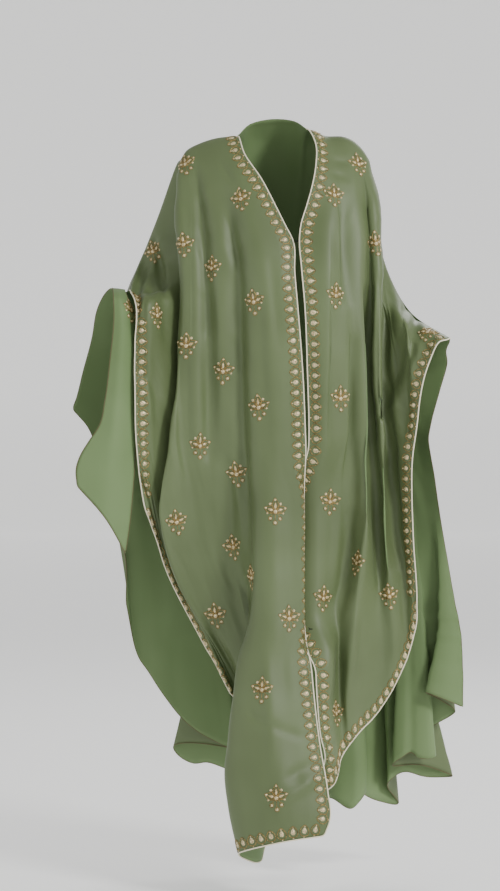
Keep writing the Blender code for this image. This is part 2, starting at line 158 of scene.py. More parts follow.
# Right front
# One panel of satin crepe from the shoulder seam to the hem, which stands forward in a
# long ridge, with a wing of cloth that hangs as a sleeve. It is sewn to the back on top.
# Lines of fall. Columns: x, z, y in millimetres, from the seam to the hem.
RIGHT_FRONT_LINES = {
    "front edge": (
        (-88, -4, 0), (-73, -42, -55), (-39, -92, -88), (-13, -142, -104), (7, -182, -116),
        (23, -214, -124), (26, -276, -140), (32, -344, -146), (42, -472, -136), (48, -612, -140),
        (52, -772, -150), (54, -982, -170), (62, -1092, -190), (77, -1222, -212),
        (92, -1312, -232), (97, -1372, -245), (86, -1403, -250)),
    "fore ridge": (
        (-106, -5, 2), (-90, -62, -62), (-68, -142, -103), (-46, -272, -146), (-34, -412, -150),
        (-26, -572, -146), (-20, -772, -160), (-18, -1012, -190), (-20, -1212, -232),
        (-14, -1332, -258), (0, -1416, -268)),
    "fore fold": (
        (-134, -9, 8), (-122, -72, -52), (-104, -162, -92), (-92, -272, -122), (-84, -412, -124),
        (-76, -572, -122), (-72, -732, -128), (-72, -872, -142), (-76, -986, -158),
        (-90, -1064, -172), (-104, -1202, -190), (-113, -1282, -200), (-106, -1342, -208),
        (-84, -1437, -215)),
    "behind the fold": (
        (-164, -19, 12), (-152, -92, -48), (-142, -212, -92), (-138, -332, -110),
        (-134, -492, -108), (-126, -652, -100), (-108, -812, -92), (-74, -942, -90),
        (-60, -1032, -96), (-56, -1132, -104), (-48, -1292, -116), (-36, -1446, -126)),
    "chest side": (
        (-188, -32, 12), (-182, -112, -44), (-180, -232, -84), (-180, -352, -100),
        (-182, -492, -104), (-182, -632, -98), (-170, -772, -88), (-144, -912, -74),
        (-112, -1022, -62), (-72, -1122, -44), (-40, -1290, -28)),
    "drape ridge": (
        (-200, -50, 11), (-206, -142, -38), (-200, -204, -60), (-196, -332, -82),
        (-206, -424, -94), (-210, -532, -102), (-220, -602, -105), (-236, -690, -107),
        (-243, -752, -104), (-224, -842, -90), (-184, -936, -72), (-140, -1018, -58),
        (-98, -1120, -50)),
    "arm valley": (
        (-212, -68, 15), (-200, -132, -8), (-190, -204, -22), (-184, -312, -38),
        (-190, -412, -48), (-193, -532, -54), (-201, -612, -57), (-215, -692, -59),
        (-226, -760, -60), (-214, -850, -55), (-192, -920, -50), (-164, -1002, -46)),
    "sleeve drape": (
        (-246, -164, 30), (-246, -222, 8), (-248, -282, -12), (-250, -312, -44),
        (-252, -318, -88), (-252, -332, -114), (-252, -362, -122), (-252, -432, -118),
        (-252, -532, -106), (-256, -632, -92), (-256, -702, -79), (-248, -772, -69),
        (-236, -830, -61), (-221, -892, -54)),
    "outer sleeve": (
        (-282, -256, 30), (-280, -288, 4), (-280, -310, -42), (-279, -317, -92),
        (-277, -332, -122), (-276, -372, -132), (-276, -432, -126), (-277, -532, -116),
        (-276, -632, -102), (-268, -702, -89), (-258, -760, -78), (-251, -806, -71)),
    "wing edge": (
        (-303, -312, -60), (-299, -318, -100), (-292, -331, -125), (-288, -348, -135),
        (-288, -372, -136), (-291, -414, -132), (-291, -532, -121), (-288, -632, -106),
        (-280, -702, -93), (-273, -742, -86)),
}

PANEL_ROWS = 190
PANEL_STRIPS = 20
SEAM_TRIM = 0.4 * MM
SHELL = 0.7 * MM


def placed(rows):
    """Table rows of x, z, y in millimetres as points in metres at their own depth."""
    x, z, y = (np.array(column, dtype=float) * MM for column in zip(*rows))
    spread = 1.0 + y / -EYE[1]
    return np.stack([EYE[0] + (x - EYE[0]) * spread, y,
                     EYE[2] + (z - EYE[2]) * spread], axis=-1)


def elevation(points):
    """x and z of points in millimetres, in the upright plane through the shoulders."""
    spread = 1.0 + points[..., 1:2] / -EYE[1]
    return (EYE[[0, 2]] + (points[..., [0, 2]] - EYE[[0, 2]]) / spread) / MM


def smooth_through(knots, points, samples):
    """A smooth curve through points at their knots, read at the samples."""
    knots = np.asarray(knots, dtype=float)
    steps = np.diff(knots)
    shape = (-1,) + (1,) * (points.ndim - 1)
    slopes = np.diff(points, axis=0) / steps.reshape(shape)
    tangents = np.empty_like(points)
    tangents[0], tangents[-1] = slopes[0], slopes[-1]
    for i in range(1, len(points) - 1):
        before, after = steps[i - 1], steps[i]
        tangents[i] = (slopes[i - 1] * after + slopes[i] * before) / (before + after)
    span = np.clip(np.searchsorted(knots, samples, side="right") - 1, 0, len(steps) - 1)
    width = steps[span]
    t = (np.asarray(samples) - knots[span]) / width
    t, width = t.reshape(shape), width.reshape(shape)
    return ((2 * t**3 - 3 * t**2 + 1) * points[span]
            + (t**3 - 2 * t**2 + t) * width * tangents[span]
            + (3 * t**2 - 2 * t**3) * points[span + 1]
            + (t**3 - t**2) * width * tangents[span + 1])


def run_along(path):
    """Distance along a path of points, from its start."""
    return np.concatenate([[0], np.cumsum(np.linalg.norm(np.diff(path, axis=0), axis=1))])


def line_of_fall(rows, count):
    """One line of fall as count + 1 points, level where it leaves the seam."""
    points = placed(rows)
    mirrored = points[1] * [0, 0, 1] + (2 * points[0] - points[1]) * [1, 1, 0]
    points = np.vstack([mirrored, points])
    knots = run_along(points)
    fine = smooth_through(knots, points, np.linspace(knots[1], knots[-1], 1200))
    run = run_along(fine)
    wanted = np.linspace(0, run[-1], count + 1)
    return np.stack([np.interp(wanted, run, fine[:, axis]) for axis in range(3)], axis=-1)


def loft(lines, places, rows, columns):
    """A grid of points, [column, row], through the lines of fall at their places."""
    falls = np.array([line_of_fall(line, rows) for line in lines.values()])
    return smooth_through(places, falls, columns)


def unit(vectors):
    return vectors / np.maximum(np.linalg.norm(vectors, axis=-1, keepdims=True), 1e-12)


def normals_of(grid, outward):
    """The way the outside of a panel faces; outward is +1 or -1 for the grid's winding."""
    return outward * unit(np.cross(np.gradient(grid, axis=0), np.gradient(grid, axis=1)))


def reach(grid, axis):
    """Distance along the cloth from the start of each column or row, in millimetres."""
    step = np.linalg.norm(np.diff(grid, axis=axis), axis=2)
    lead = np.zeros((1, grid.shape[1]) if axis == 0 else (grid.shape[0], 1))
    return np.concatenate([lead, np.cumsum(step, axis=axis)], axis=axis) / MM


PATCHES = 64
PATCH_START = (7.3, 3.1)


def uneven(across, along, seed, wide, tall):
    """Smooth uneven rise and fall between -1 and 1, over patches wide by tall millimetres."""
    values = np.random.default_rng(seed).uniform(-1, 1, (PATCHES, PATCHES))
    x, y = across / wide + PATCH_START[0], along / tall + PATCH_START[1]
    i, j = np.floor(x).astype(int), np.floor(y).astype(int)
    s, t = x - i, y - j
    s, t = s * s * (3 - 2 * s), t * t * (3 - 2 * t)
    i, j, i_next, j_next = (k % PATCHES for k in (i, j, i + 1, j + 1))
    return ((values[i, j] * (1 - s) + values[i_next, j] * s) * (1 - t)
            + (values[i, j_next] * (1 - s) + values[i_next, j_next] * s) * t)


# Soft folds that the crepe takes between the main ones. Columns: how wide and how tall
# a fold is, and its depth, in millimetres.
SOFT_FOLDS = ((64, 460, 5.0), (32, 300, 2.2), (120, 50, 0.9), (15, 70, 0.4))
# They fade out over these distances; at the very edge this share is left.
SEAM_CALM, EDGE_CALM = 70, 26
EDGE_LEAST = 0.3


def soften(grid, outward, seed):
    """Lay the soft folds on a panel, fading out at the seam and at the stiff border."""
    across, along = reach(grid, 0), reach(grid, 1)
    depth = sum(size * uneven(across, along, seed + k, wide, tall)
                for k, (wide, tall, size) in enumerate(SOFT_FOLDS))
    from_edge = np.minimum(across, across[-1] - across)
    calm = (np.clip(along / SEAM_CALM, 0, 1)
            * (EDGE_LEAST + (1 - EDGE_LEAST) * np.clip(from_edge / EDGE_CALM, 0, 1)))
    return grid + normals_of(grid, outward) * (depth * calm * MM)[..., None]


# How far into its rise a crease starts, and ends: it is shallow at both of its ends.
CREASE_END = 0.12


def crease(grid, outward, creases):
    """Press the creases into a panel, each along its line."""
    flat = elevation(grid)
    shift = np.zeros(grid.shape[:2])
    places = np.arange(grid.shape[0]) / PANEL_STRIPS
    for x0, z0, x1, z1, rise, width, first, last in creases:
        start, run = np.array([x0, z0]), np.array([x1 - x0, z1 - z0])
        share = np.clip(((flat - start) @ run) / (run @ run), 0, 1)
        off = np.linalg.norm(flat - start - share[..., None] * run, axis=-1)
        fade = np.sin(np.pi * (CREASE_END + (1 - 2 * CREASE_END) * share))
        inside = ((places >= first) & (places <= last))[:, None]
        shift += inside * rise * fade * np.exp(-(off / width) ** 2)
    return grid + normals_of(grid, outward) * (shift * MM)[..., None]


def draw_back(grid, first, last):
    """Draw the top of a panel back from the seam, squarely to it, between two columns."""
    along = unit(np.gradient(grid[:, 0], axis=0))
    into = grid[:, 4] - grid[:, 0]
    into = unit(into - along * np.sum(into * along, axis=1)[:, None])
    grid[first:last, 0] += SEAM_TRIM * into[first:last]


def grid_faces(across, down, flip):
    faces = []
    for i in range(across - 1):
        for j in range(down - 1):
            corner = i * down + j
            face = (corner, corner + 1, corner + down + 1, corner + down)
            faces.append(face[::-1] if flip else face)
    return faces


def shell(obj):
    """The cloth's own thickness, with the inside in the second material."""
    wall = obj.modifiers.new("cloth thickness", "SOLIDIFY")
    wall.thickness = SHELL
    wall.offset = -1.0
    wall.material_offset = 1
    wall.material_offset_rim = 0
    return obj


def noise(material, scale, detail):
    """Solid noise over the object's own place."""
    place = add_node(material, "ShaderNodeTexCoord")
    node = add_node(material, "ShaderNodeTexNoise", Scale=scale, Detail=detail)
    material.node_tree.links.new(place.outputs["Object"], node.inputs["Vector"])
    return node


def two_tone(material, shader, source, dark, light, low, high):
    """The base colour goes from dark to light as the noise goes from low to high."""
    ramp = add_node(material, "ShaderNodeValToRGB")
    for stop, position, colour in zip(ramp.color_ramp.elements, (low, high), (dark, light)):
        stop.position = position
        stop.color = linear(colour)
    links = material.node_tree.links
    links.new(source.outputs["Fac"], ramp.inputs["Fac"])
    links.new(ramp.outputs["Color"], shader.inputs["Base Color"])


def roughen(material, shader, source, strength, distance):
    bump = add_node(material, "ShaderNodeBump", Strength=strength, Distance=distance)
    links = material.node_tree.links
    links.new(source.outputs["Fac"], bump.inputs["Height"])
    links.new(bump.outputs["Normal"], shader.inputs["Normal"])


def crepe(name, colour, deep, roughness, sheen):
    """Satin-backed crepe: a fine uneven grain under a soft sheen."""
    material, shader = principled(name, colour, roughness)
    two_tone(material, shader, noise(material, 5.0, 2.0), deep, colour, 0.3, 0.7)
    roughen(material, shader, noise(material, 900.0, 3.0), 0.25, 0.0002)
    shader.inputs["Sheen Weight"].default_value = sheen
    shader.inputs["Sheen Roughness"].default_value = 0.35
    shader.inputs["Specular IOR Level"].default_value = 0.38
    return material


# Satin face of the crepe, turned out: sage green with a soft shine.
satin_face = crepe("sage satin face", "#5E6C48", "#525F3C", 0.5, 0.05)
# Crepe side of the same cloth, turned in: matter and greener.
crepe_side = crepe("sage crepe inside", "#6E8458", "#62784C", 0.72, 0.05)

# Between these heights the fronts lap: the right one's border turns edge-on, and the left
# one's passes under it. In metres, with the height over which the lap comes and goes.
LAP_TOP, LAP_FOOT, LAP_EASE = -0.620, -1.065, 0.11
# The border's width, how far it turns, and the width of cloth that eases along with it.
BORDER_WIDTH = 23.0
BORDER_TURN = np.radians(80)
EASED_WIDTH = 170.0
# How wide a strip of the left front moves, and how far its edge goes sideways and back.
UNDER_WIDTH, UNDER_SIDE, UNDER_DEEP = 200.0, 26, 24


def lap_share(grid):
    """For each row of a front, how far the lap has come: 0 not at all, 1 wholly."""
    z = grid[0, :, 2]
    rise = np.clip((LAP_TOP - z) / LAP_EASE, 0, 1) * np.clip((z - LAP_FOOT) / LAP_EASE, 0, 1)
    return rise * rise * (3 - 2 * rise)


def turn_border(grid, outward):
    """Turn the border back about its inner line, and ease the cloth beside it along."""
    face, across = normals_of(grid, outward), reach(grid, 0)
    result = grid.copy()
    for row, share in enumerate(lap_share(grid)):
        if share < 0.01:
            continue
        run, line = across[:, row], grid[:, row]
        flat, deep = np.cos(BORDER_TURN * share), np.sin(BORDER_TURN * share)
        shown = BORDER_WIDTH * flat
        ease = (EASED_WIDTH - shown) / (EASED_WIDTH - BORDER_WIDTH)
        source = np.where(run < EASED_WIDTH, shown + (run - BORDER_WIDTH) * ease, run)
        for axis in range(3):
            result[:, row, axis] = np.interp(np.maximum(source, shown), run, line[:, axis])
        turned = run < BORDER_WIDTH
        side = unit(line[3] - line[0])
        fold = np.array([np.interp(shown, run, line[:, axis]) for axis in range(3)])
        way = -flat * side - deep * face[1, row]
        result[turned, row] = fold + way * ((BORDER_WIDTH - run[turned]) * MM)[:, None]
    return result


def pass_under(grid, outward):
    """Carry the front edge back and sideways, under the other front."""
    face, across = normals_of(grid, outward), reach(grid, 0)
    near = np.clip(1 - across / UNDER_WIDTH, 0, 1)
    near = (near * near * (3 - 2 * near) * lap_share(grid)[None])[..., None]
    side = unit(grid[0] - grid[6])[None]
    deep = unit(face[4] + face[16] + face[28])[None]
    return grid + near * (side * UNDER_SIDE * MM - deep * UNDER_DEEP * MM)


def front_shell(name, node, lines, outward, creases, seed, lap):
    """A front as cloth: lofted, lapped, creased, softened and drawn back from the seam."""
    last = len(lines) - 1
    columns = np.linspace(0, last, PANEL_STRIPS * last + 1)
    grid = loft(lines, np.arange(len(lines)), PANEL_ROWS, columns)
    grid = soften(crease(lap(grid, outward), outward, creases), outward, seed)
    draw_back(grid, 0, len(columns))
    faces = grid_faces(*grid.shape[:2], flip=outward > 0)
    obj = shell(mesh_object(name, grid.reshape(-1, 3), faces, satin_face, crepe_side))
    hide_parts(node)
    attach(obj, "root")
    return obj, grid


# Creases of the right front. Columns: x and z of one end, x and z of the other, in
# millimetres; rise (negative is a trough) and width; first and last line of fall.
RIGHT_CREASES = (
    (-252, -212, -236, -312, -10, 8, 5.5, 9), (-236, -312, -228, -420, -5, 8, 5.5, 9),
    (-204, -92, -196, -430, 10, 14, 4, 6), (-172, -72, -160, -162, -9, 11, 2.5, 5),
    (-162, -142, -148, -390, -14, 13, 2.5, 5), (-150, -330, -142, -640, -14, 15, 2, 5),
    (-106, -162, -92, -256, -14, 12, 1, 4), (-92, -236, -84, -460, -15, 14, 1, 4),
    (-86, -420, -76, -720, -14, 14, 0.8, 3.5), (-78, -640, -72, -900, -10, 13, 0.8, 3.5),
    (-128, -220, -118, -560, 5, 16, 1.5, 4), (-44, -300, -30, -620, -5, 15, 0.3, 2.5),
    (-18, -260, -6, -420, -4, 12, 0.2, 2), (-112, -660, -104, -860, -10, 13, 1.5, 4),
    (-64, -1156, -48, -1172, -4, 7, 0, 2.6), (-48, -1172, 2, -1192, -4, 7, 0, 2),
    (2, -1192, 44, -1206, -3, 7, 0, 1.5), (8, -1334, 78, -1280, 5, 9, 0, 1.6),
    (10, -1290, 60, -1262, -4, 8, 0, 1.5), (-30, -1040, -18, -1260, 3, 12, 0.4, 2),
    (-66, -880, -88, -1010, -12, 11, 1, 3), (-120, -60, -96, -96, -2.5, 9, 1, 4),
    (-252, -420, -246, -640, -3, 10, 6, 9), (-268, -420, -262, -600, 2.5, 9, 7, 9),
)
right_shell, right_grid = front_shell(
    "right_front", "front_right", RIGHT_FRONT_LINES, 1, RIGHT_CREASES, 11, turn_border)


# Left front
# The mirror panel, which passes under the right one below the waist. Its wing hangs in
# long folds that run from the cuff.
LEFT_FRONT_LINES = {
    "front edge": (
        (52, 10, 0), (71, -22, -42), (71, -62, -68), (64, -102, -88), (53, -142, -103),
        (41, -182, -116), (38, -212, -124), (42, -264, -138), (49, -344, -146), (54, -472, -136),
        (57, -612, -136), (50, -732, -138), (49, -852, -147), (52, -952, -158), (61, -996, -166),
        (67, -1032, -174), (73, -1132, -188), (79, -1202, -196), (88, -1248, -195),
        (76, -1288, -186), (62, -1320, -178)),
    "front slab": (
        (70, 4, 2), (90, -62, -60), (98, -142, -96), (100, -272, -136), (98, -412, -142),
        (94, -572, -140), (96, -752, -146), (100, -912, -156), (102, -1026, -166),
        (100, -1092, -172), (94, -1152, -178), (98, -1222, -184), (102, -1302, -182)),
    "front valley": (
        (90, -4, 6), (118, -82, -58), (134, -182, -92), (140, -332, -118), (138, -492, -120),
        (136, -632, -116), (134, -760, -108), (130, -876, -108), (118, -968, -116),
        (114, -1052, -124), (116, -1132, -132), (125, -1242, -146)),
    "side ridge": (
        (124, -5, 10), (146, -82, -48), (160, -182, -80), (166, -332, -104), (174, -492, -114),
        (178, -632, -120), (176, -760, -126), (164, -852, -132), (156, -922, -136),
        (144, -1042, -140), (138, -1112, -140), (145, -1212, -134)),
    "side valley": (
        (148, -16, 12), (164, -92, -36), (174, -192, -58), (178, -332, -74), (176, -514, -82),
        (184, -632, -84), (186, -732, -84), (188, -832, -86), (194, -932, -88), (196, -1032, -88),
        (190, -1160, -94)),
    "drape ridge": (
        (170, -42, 10), (180, -112, -26), (188, -176, -48), (194, -272, -70), (196, -392, -88),
        (198, -512, -98), (204, -612, -104), (207, -712, -106), (210, -812, -104),
        (220, -912, -100), (228, -1012, -90), (224, -1108, -82)),
    "arm valley": (
        (180, -74, 14), (186, -142, -2), (190, -212, -18), (192, -292, -30), (194, -412, -46),
        (202, -532, -58), (213, -632, -68), (228, -732, -78), (240, -832, -82), (247, -932, -84),
        (249, -1056, -78)),
    "upper sleeve": (
        (200, -232, 30), (206, -292, 4), (214, -352, -40), (220, -412, -62), (226, -512, -78),
        (232, -612, -86), (242, -732, -92), (252, -852, -94), (261, -932, -92), (265, -1002, -86)),
    "forearm": (
        (254, -350, 10), (252, -360, -50), (250, -384, -92), (248, -422, -106), (248, -492, -106),
        (248, -592, -105), (250, -692, -104), (256, -812, -101), (265, -910, -96),
        (271, -972, -91)),
    "wing edge": (
        (338, -408, -110), (331, -411, -124), (316, -415, -132), (306, -430, -135),
        (300, -444, -134), (286, -484, -130), (278, -522, -126), (271, -582, -122),
        (262, -652, -116), (261, -732, -110), (264, -812, -106), (270, -892, -101),
        (272, -938, -97)),
}

# Creases of the left front, in the same columns as the right front's.
LEFT_CREASES = (
    (104, -52, 140, -58, -3, 6, 1, 6), (100, -78, 132, -88, -2.5, 6, 1, 5),
    (176, -94, 188, -196, 10, 12, 4.2, 7), (188, -176, 194, -520, 9, 13, 4.2, 7),
    (178, -312, 172, -514, -14, 11, 3, 6), (176, -500, 182, -604, -12, 11, 3, 6),
    (182, -584, 198, -900, -14, 12, 3, 6), (246, -354, 218, -528, -15, 12, 6, 9),
    (270, -372, 246, -472, -14, 11, 6.5, 9), (246, -472, 246, -604, -10, 11, 6.5, 9),
    (100, -300, 108, -640, -5, 18, 1, 3.2), (140, -420, 138, -760, -12, 14, 2, 4.5),
    (118, -140, 132, -330, -9, 14, 1.5, 4.2), (222, -560, 232, -860, -10, 13, 5, 8),
    (204, -300, 206, -560, -10, 12, 4.8, 7), (134, -760, 130, -876, -9, 10, 1.5, 4.5),
    (130, -876, 116, -968, -5, 10, 1.5, 4.5), (176, -760, 156, -922, 4, 11, 2, 4.5),
    (156, -922, 128, -1160, 3, 11, 2, 4.5), (210, -640, 222, -940, -3, 12, 5, 8),
    (112, -200, 118, -420, -3, 14, 1, 3.5),
)
left_shell, left_grid = front_shell(
    "left_front", "front_left", LEFT_FRONT_LINES, -1, LEFT_CREASES, 47, pass_under)


# Back
# One panel, wider and longer than the fronts, which sweeps out behind them. Its hem falls
# in zigzag folds, and its corner is turned forward over the right cuff.
BACK_LINES = {
    "right wing edge": (
        (-338, -308, -60), (-354, -322, -25), (-368, -352, 0), (-378, -408, 18), (-396, -476, 24),
        (-410, -532, 20), (-416, -550, 18), (-406, -562, 24), (-386, -586, 36), (-370, -622, 44),
        (-350, -692, 50), (-330, -772, 54), (-312, -844, 56), (-310, -938, 60)),
    "right wrist": (
        (-320, -310, -66), (-324, -318, -25), (-330, -344, 5), (-338, -412, 30), (-346, -512, 45),
        (-348, -612, 55), (-338, -712, 60), (-318, -832, 66), (-304, -932, 70), (-288, -1038, 74)),
    "right cuff seam": (
        (-303, -312, -60), (-311, -320, -15), (-313, -348, 18), (-306, -422, 42),
        (-302, -532, 55), (-298, -672, 66), (-286, -812, 76), (-270, -952, 84), (-246, -1108, 88)),
    "right forearm": (
        (-282, -256, 30), (-286, -268, 62), (-280, -332, 78), (-272, -452, 84), (-262, -612, 90),
        (-248, -792, 96), (-226, -972, 102), (-194, -1170, 106)),
    "right upper arm": (
        (-246, -164, 30), (-242, -188, 66), (-234, -272, 92), (-222, -432, 102),
        (-206, -612, 108), (-186, -812, 114), (-158, -1012, 118), (-118, -1220, 120)),
    "right arm top": (
        (-212, -68, 15), (-206, -96, 62), (-194, -192, 98), (-178, -372, 112), (-162, -592, 120),
        (-142, -812, 130), (-114, -1012, 136), (-74, -1236, 140)),
    "right shoulder": (
        (-188, -32, 12), (-182, -58, 66), (-166, -152, 112), (-146, -332, 128), (-130, -572, 136),
        (-118, -812, 155), (-114, -1032, 180), (-110, -1264, 215)),
    "right shoulder blade": (
        (-134, -9, 8), (-126, -32, 66), (-106, -122, 122), (-86, -312, 140), (-70, -572, 146),
        (-62, -812, 168), (-58, -1052, 198), (-58, -1282, 232)),
    "right neck": (
        (-88, -4, 0), (-82, -28, 72), (-62, -122, 132), (-42, -312, 148), (-26, -572, 152),
        (-18, -812, 174), (-10, -1052, 206), (-6, -1296, 240)),
    "right nape": (
        (-62, 20, 55), (-58, 0, 88), (-40, -116, 136), (-24, -312, 151), (-10, -572, 155),
        (-2, -812, 177), (6, -1052, 208), (12, -1302, 243)),
    "centre back": (
        (-18, 30, 74), (-17, 2, 100), (-12, -112, 138), (-2, -312, 152), (6, -572, 156),
        (14, -812, 178), (22, -1052, 210), (32, -1304, 244)),
    "left nape": (
        (26, 26, 55), (24, 0, 88), (18, -114, 136), (22, -312, 151), (28, -572, 155),
        (36, -812, 176), (46, -1052, 206), (58, -1306, 240)),
    "left neck": (
        (52, 10, 0), (46, -16, 72), (38, -116, 132), (42, -312, 148), (50, -572, 152),
        (58, -812, 172), (70, -1052, 200), (86, -1300, 232)),
    "left shoulder blade": (
        (90, -4, 6), (90, -28, 68), (94, -116, 122), (102, -312, 140), (110, -572, 144),
        (122, -812, 158), (138, -1052, 178), (154, -1282, 195)),
    "left shoulder": (
        (148, -16, 12), (146, -44, 64), (146, -132, 104), (154, -312, 120), (166, -572, 124),
        (182, -812, 132), (202, -1052, 144), (222, -1262, 152)),
    "left arm top": (
        (180, -74, 14), (180, -100, 56), (186, -182, 84), (198, -352, 96), (210, -572, 100),
        (226, -812, 104), (246, -1032, 110), (266, -1232, 114)),
    "left upper arm": (
        (200, -232, 30), (204, -256, 58), (214, -332, 70), (230, -492, 76), (246, -672, 80),
        (266, -872, 84), (286, -1032, 88), (302, -1180, 90)),
    "left forearm": (
        (254, -350, 10), (254, -368, 36), (258, -422, 50), (266, -552, 56), (282, -692, 60),
        (302, -852, 62), (322, -992, 64), (338, -1142, 64)),
    "left wing edge": (
        (338, -408, -110), (336, -418, -60), (330, -436, -20), (332, -458, 5), (318, -512, 22),
        (298, -582, 30), (294, -606, 32), (298, -640, 34), (308, -696, 36), (320, -778, 40),
        (334, -858, 44), (348, -938, 46), (360, -1000, 48), (363, -1052, 50), (364, -1146, 52)),
}
# Places of the back's lines of fall across the panel; the two napes stand halfway.
BACK_PLACES = (0, 1, 2, 3, 4, 5, 6, 7, 8, 8.5, 9, 9.5, 10, 11, 12, 13, 14, 15, 16)
# The zigzag folds of the back hem. Columns: place across the panel, then x, z, y.
BACK_HEM = (
    (0.0, -310, -938, 60), (1.0, -290, -1034, 74), (2.0, -262, -1080, 88), (2.5, -236, -1120, 94),
    (3.0, -202, -1164, 104), (3.5, -168, -1194, 110), (4.0, -136, -1212, 118),
    (4.5, -112, -1224, 124), (4.9, -80, -1236, 136), (5.15, -100, -1228, 156),
    (5.35, -170, -1218, 170), (5.55, -214, -1222, 184), (5.75, -206, -1242, 200),
    (6.0, -174, -1259, 212), (6.2, -150, -1256, 220), (6.5, -112, -1268, 226),
    (7.0, -58, -1285, 234), (8.0, -6, -1300, 242), (9.0, 32, -1310, 246), (10.0, 84, -1312, 222),
    (10.5, 92, -1326, 150), (10.8, 84, -1330, 80), (11.0, 102, -1328, 42),
    (11.25, 138, -1350, 25), (11.45, 156, -1336, 32), (11.65, 170, -1316, 58),
    (11.85, 168, -1322, 96), (12.05, 196, -1334, 132), (12.25, 236, -1338, 160),
    (12.38, 214, -1308, 126), (12.48, 216, -1294, 108), (12.6, 242, -1276, 118),
    (12.8, 292, -1286, 138), (12.95, 340, -1285, 156), (13.05, 341, -1282, 142),
    (13.2, 282, -1262, 108), (13.4, 222, -1264, 80), (13.6, 242, -1246, 66),
    (13.8, 260, -1236, 66), (14.0, 276, -1248, 60), (14.25, 307, -1246, 62),
    (14.35, 309, -1240, 74), (14.5, 288, -1214, 88), (14.65, 284, -1202, 100),
    (14.9, 306, -1182, 106), (15.12, 344, -1160, 96), (15.24, 348, -1152, 82),
    (15.45, 312, -1128, 66), (15.6, 291, -1118, 56), (15.7, 289, -1116, 42),
    (15.85, 326, -1130, 38), (16.0, 364, -1146, 52),
)
# Where the back meets each front's seam: a place across the back and a front line.
RIGHT_SEAM = ((2, 9), (3, 8), (4, 7), (5, 6), (6, 4), (7, 2), (8, 0))
LEFT_SEAM = ((10, 0), (11, 2), (12, 4), (13, 6), (14, 7), (15, 8), (16, 9))
# The corner turned forward over the right cuff, in the same columns.
WRIST_LAPEL_LINES = {
    "outer edge": (
        (-338, -308, -60), (-336, -313, -104), (-335, -326, -130), (-334, -366, -138),
        (-342, -452, -134), (-352, -532, -130), (-362, -580, -127), (-384, -614, -124),
        (-402, -644, -121), (-410, -668, -119), (-408, -704, -117)),
    "middle": (
        (-325, -309, -64), (-322, -315, -104), (-318, -330, -130), (-314, -372, -140),
        (-317, -452, -138), (-322, -532, -135), (-330, -612, -132), (-344, -692, -128),
        (-352, -768, -125)),
    "inner edge": (
        (-311, -311, -63), (-310, -317, -92), (-304, -332, -106), (-293, -356, -112),
        (-287, -412, -108), (-287, -532, -98), (-289, -640, -92), (-293, -700, -92),
        (-300, -782, -98), (-309, -842, -104)),
}
# How finely the cloth is drawn: down the back, across the folds, the cuff and the body.
BACK_ROWS, BACK_FINE, CUFF_STRIPS, BODY_STRIPS = 112, 4, 30, 96
STRIPS_PER_PLACE = 1.6
LAPEL_ROWS = 70
LAPEL_REACH = 1.5
# The share of the fall over which the top eases to the seam, and where the hem's folds
# start and how fast they grow.
SEAM_EASE = 0.22
HEM_FOLD_START, HEM_FOLD_POWER = 0.52, 1.5
# Soft folds of the back, in the same columns as SOFT_FOLDS; the hem's folds calm them.
BACK_SOFT_FOLDS = ((60, 420, 3.0), (30, 240, 1.2))
HEM_CALM = 0.75


def meet_seam(grid, columns, seam, lines):
    """Bring the top of the back to the curve that a front's top follows."""
    tops = placed([line[0] for line in lines.values()])
    back_lines, front_lines = zip(*seam)
    joined = np.flatnonzero((columns >= back_lines[0]) & (columns <= back_lines[-1]))
    places = np.interp(columns[joined], back_lines, front_lines)
    shift = smooth_through(np.arange(len(tops)), tops, places) - grid[joined, 0]
    down = np.arange(grid.shape[1]) / BACK_ROWS
    ease = np.clip(1 - down / SEAM_EASE, 0, 1)
    grid[joined] += shift[:, None] * ease[None, :, None]
    return joined


# Places across the back: even at first, then closer where the hem folds.
columns = [*np.linspace(0, 2, CUFF_STRIPS, False), *np.linspace(2, 8, BODY_STRIPS, False)]
places = [row[0] for row in BACK_HEM if row[0] >= 8]
for before, after in zip(places, places[1:]):
    strips = max(1, round((after - before) * STRIPS_PER_PLACE)) * BACK_FINE
    columns += list(np.linspace(before, after, strips + 1)[:-1])
columns = np.array(columns + [places[-1]])
back = loft(BACK_LINES, BACK_PLACES, BACK_ROWS, columns)
seams = [meet_seam(back, columns, RIGHT_SEAM, RIGHT_FRONT_LINES),
         meet_seam(back, columns, LEFT_SEAM, LEFT_FRONT_LINES)]
hem = smooth_through([row[0] for row in BACK_HEM],
                     placed([row[1:] for row in BACK_HEM]), columns)
down = np.linspace(0, 1, BACK_ROWS + 1)
share = np.clip((down - HEM_FOLD_START) / (1 - HEM_FOLD_START), 0, 1) ** HEM_FOLD_POWER
back = back + share[None, :, None] * (hem - back[:, -1])[:, None, :]
across, along = reach(back, 0), reach(back, 1)
depth = sum(size * uneven(across, along, 5 + k, wide, tall)
            for k, (wide, tall, size) in enumerate(BACK_SOFT_FOLDS))
depth *= np.clip(along / SEAM_CALM, 0, 1) * (1 - HEM_CALM * share)
# The winding's sign, read at a place in the middle of the back.
back_outward = 1 if normals_of(back, 1)[60, 40, 1] > 0 else -1
back = back + normals_of(back, back_outward) * (depth * MM)[..., None]
for joined in seams:
    draw_back(back, joined[0], joined[-1] + 1)

